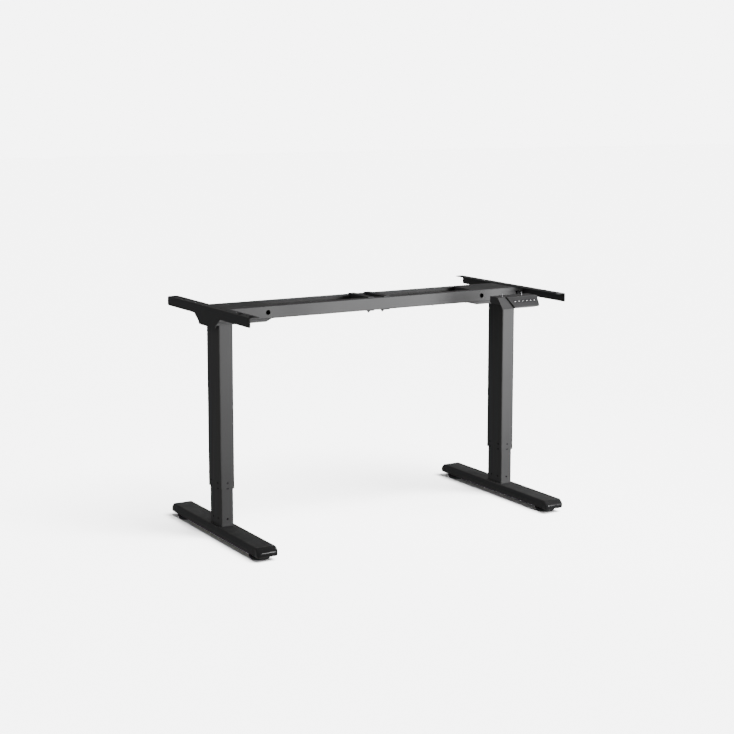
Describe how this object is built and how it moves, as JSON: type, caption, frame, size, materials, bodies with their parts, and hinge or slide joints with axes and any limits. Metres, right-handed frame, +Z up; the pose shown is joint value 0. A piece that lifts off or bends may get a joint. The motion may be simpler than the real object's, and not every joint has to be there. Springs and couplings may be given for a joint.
{
  "type": "height adjustable standing desk frame",
  "caption": "Electric sit-stand desk frame with lifting columns on flat feet, a telescoping cross beam, tabletop brackets and a keypad handset.",
  "frame": {"origin": "on the floor, under the middle of the frame", "axes": "+X to the right along the beam, +Y to the rear, +Z up"},
  "size_m": [1.168, 0.644, 0.755],
  "materials": {
    "foot_paint": "fine textured charcoal powder coat",
    "tube_paint": "fine textured charcoal powder coat",
    "head_paint": "fine textured charcoal powder coat",
    "rail_paint": "fine textured charcoal powder coat",
    "bracket_paint": "fine textured black powder coat",
    "clamp_paint": "fine textured black powder coat",
    "cap_plastic": "glossy black moulded plastic",
    "pad_plastic": "black moulded plastic",
    "cast_alloy": "as cast",
    "zinc_steel": "zinc plated",
    "nut_brass": "turned",
    "glide_nylon": "natural nylon",
    "mouth_nylon": "black nylon",
    "motor_steel": "satin black",
    "spindle_steel": "rolled thread",
    "pad_rubber": "black rubber",
    "black_steel": "black oxide",
    "box_plastic": "black moulded plastic",
    "socket_plastic": "dark grey moulded plastic",
    "handset_plastic": "satin dark grey moulded plastic",
    "panel_plastic": "satin dark grey film",
    "button_plastic": "dark grey buttons with pale signs"
  },
  "bodies": {
    "left_base": {"foot_left": "foot_paint", "foot_caps_left": "cap_plastic", "inner_tube_left": "tube_paint", "tube_insert_left": "cast_alloy", "foot_bolts_left": "zinc_steel", "nut_plate_left": "cast_alloy", "spindle_nut_left": "nut_brass", "upper_glide_left": "glide_nylon"},
    "left_frame": {"outer_tube_left": "tube_paint", "lower_glide_left": "mouth_nylon", "head_box_left": "head_paint", "head_tray_left": "head_paint", "gearbox_left": "cast_alloy", "motor_left": "motor_steel", "bracket_left": "bracket_paint", "bracket_pads_left": "pad_rubber", "inner_rail_front": "rail_paint", "inner_rail_rear": "rail_paint", "tie_plates": "head_paint", "clamp_bars": "clamp_paint", "clamp_plates": "clamp_paint", "clamp_bolts": "black_steel"},
    "right_frame": {"outer_tube_right": "tube_paint", "lower_glide_right": "mouth_nylon", "head_box_right": "head_paint", "head_tray_right": "head_paint", "gearbox_right": "cast_alloy", "motor_right": "motor_steel", "bracket_right": "bracket_paint", "bracket_pads_right": "pad_rubber", "outer_rail_front": "rail_paint", "outer_rail_rear": "rail_paint", "head_bolts_right": "black_steel", "control_box": "box_plastic", "control_lid": "box_plastic", "control_sockets": "socket_plastic", "handset_body": "handset_plastic", "handset_cover": "handset_plastic", "handset_panel": "panel_plastic", "handset_screws": "zinc_steel"},
    "right_base": {"foot_right": "foot_paint", "foot_caps_right": "cap_plastic", "inner_tube_right": "tube_paint", "tube_insert_right": "cast_alloy", "foot_bolts_right": "zinc_steel", "nut_plate_right": "cast_alloy", "spindle_nut_right": "nut_brass", "upper_glide_right": "glide_nylon"},
    "left_spindle": {"spindle_left": "spindle_steel"},
    "right_spindle": {"spindle_right": "spindle_steel"},
    "level_front_left": {"level_foot_front_left": "pad_plastic"},
    "level_rear_left": {"level_foot_rear_left": "pad_plastic"},
    "level_front_right": {"level_foot_front_right": "pad_plastic"},
    "level_rear_right": {"level_foot_rear_right": "pad_plastic"},
    "key_1": {"button_1": "button_plastic"},
    "key_2": {"button_2": "button_plastic"},
    "key_3": {"button_3": "button_plastic"},
    "key_4": {"button_4": "button_plastic"},
    "key_5": {"button_5": "button_plastic"},
    "key_6": {"button_6": "button_plastic"}
  },
  "joints": [
    {"name": "left_lift", "type": "slide", "parent": "left_base", "child": "left_frame", "axis": [0, 0, 1], "range_m": [0, 0.4]},
    {"name": "beam_width", "type": "slide", "parent": "left_frame", "child": "right_frame", "axis": [1, 0, 0], "range_m": [0, 0.4]},
    {"name": "right_lift", "type": "slide", "parent": "right_frame", "child": "right_base", "axis": [0, 0, -1], "range_m": [0, 0.4]},
    {"name": "left_spindle_turn", "type": "hinge", "parent": "left_frame", "child": "left_spindle", "pos_m": [-0.54, 0, 0.7], "axis": [0, 0, 1], "range_deg": [0, 18003]},
    {"name": "right_spindle_turn", "type": "hinge", "parent": "right_frame", "child": "right_spindle", "pos_m": [0.54, 0, 0.7], "axis": [0, 0, 1], "range_deg": [0, 18003]},
    {"name": "level_front_left_slide", "type": "slide", "parent": "left_base", "child": "level_front_left", "axis": [0, 0, -1], "range_m": [0, 0.01]},
    {"name": "level_rear_left_slide", "type": "slide", "parent": "left_base", "child": "level_rear_left", "axis": [0, 0, -1], "range_m": [0, 0.01]},
    {"name": "level_front_right_slide", "type": "slide", "parent": "right_base", "child": "level_front_right", "axis": [0, 0, -1], "range_m": [0, 0.01]},
    {"name": "level_rear_right_slide", "type": "slide", "parent": "right_base", "child": "level_rear_right", "axis": [0, 0, -1], "range_m": [0, 0.01]},
    {"name": "key_1_press", "type": "slide", "parent": "right_frame", "child": "key_1", "axis": [0, 0.7541, -0.6568], "range_m": [0, 0.001], "stiffness_N_per_m": 500, "springref_m": -0.001},
    {"name": "key_2_press", "type": "slide", "parent": "right_frame", "child": "key_2", "axis": [0, 0.7541, -0.6568], "range_m": [0, 0.001], "stiffness_N_per_m": 500, "springref_m": -0.001},
    {"name": "key_3_press", "type": "slide", "parent": "right_frame", "child": "key_3", "axis": [0, 0.7541, -0.6568], "range_m": [0, 0.001], "stiffness_N_per_m": 500, "springref_m": -0.001},
    {"name": "key_4_press", "type": "slide", "parent": "right_frame", "child": "key_4", "axis": [0, 0.7541, -0.6568], "range_m": [0, 0.001], "stiffness_N_per_m": 500, "springref_m": -0.001},
    {"name": "key_5_press", "type": "slide", "parent": "right_frame", "child": "key_5", "axis": [0, 0.7541, -0.6568], "range_m": [0, 0.001], "stiffness_N_per_m": 500, "springref_m": -0.001},
    {"name": "key_6_press", "type": "slide", "parent": "right_frame", "child": "key_6", "axis": [0, 0.7541, -0.6568], "range_m": [0, 0.001], "stiffness_N_per_m": 500, "springref_m": -0.001}
  ],
  "couplings": [
    {"joint": "right_lift", "follows": "left_lift", "ratio": 1},
    {"joint": "left_spindle_turn", "follows": "left_lift", "rad_per_m": 785.4},
    {"joint": "right_spindle_turn", "follows": "left_lift", "rad_per_m": 785.4}
  ]
}
